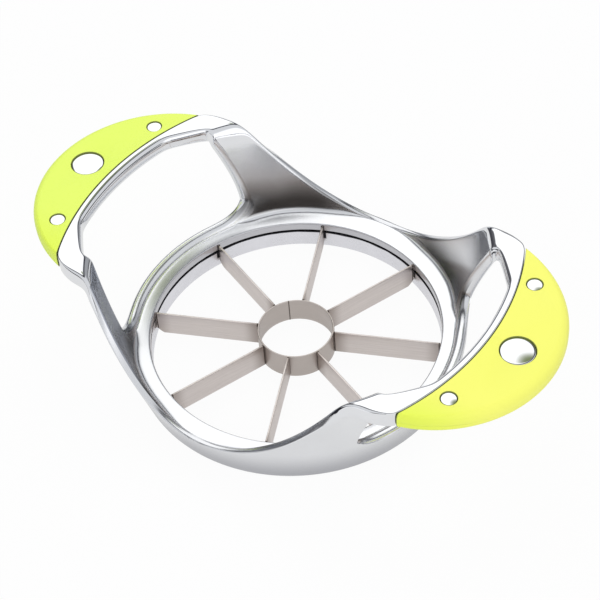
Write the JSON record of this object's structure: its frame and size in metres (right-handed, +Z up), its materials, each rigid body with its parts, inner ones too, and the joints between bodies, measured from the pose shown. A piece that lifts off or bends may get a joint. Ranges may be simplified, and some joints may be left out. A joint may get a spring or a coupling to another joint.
{
  "type": "fruit slicer",
  "caption": "Hand fruit slicer: chromed ring casting with a raised grip at each end and radial blades round a core ring.",
  "frame": {"origin": "centre of the resting plane, on the axis of the core ring", "axes": "+Z up along the core ring's axis, +X towards one handle, +Y towards the back"},
  "size_m": [0.19, 0.1156, 0.0473],
  "materials": {
    "frame_chrome": "bright chrome plate on a zinc die casting",
    "ring_satin": "satin, as cast and plated",
    "blade_steel": "satin stainless strip",
    "grip_lime": "moulded lime plastic, semi-matte",
    "screw_steel": "plated steel"
  },
  "bodies": {
    "root": {"frame": "frame_chrome", "holder_ring": "ring_satin", "core_ring": "blade_steel", "blade_1": "blade_steel", "blade_2": "blade_steel", "blade_3": "blade_steel", "blade_4": "blade_steel", "blade_5": "blade_steel", "blade_6": "blade_steel", "blade_7": "blade_steel", "blade_8": "blade_steel", "grip_left_cover": "grip_lime", "grip_left_base": "grip_lime", "grip_right_cover": "grip_lime", "grip_right_base": "grip_lime", "holder_screw_1": "screw_steel", "holder_screw_2": "screw_steel", "holder_screw_3": "screw_steel", "holder_screw_4": "screw_steel", "grip_screw_left_middle": "screw_steel", "grip_screw_left_back": "screw_steel", "grip_screw_left_front": "screw_steel", "grip_screw_right_middle": "screw_steel", "grip_screw_right_back": "screw_steel", "grip_screw_right_front": "screw_steel"}
  },
  "joints": []
}
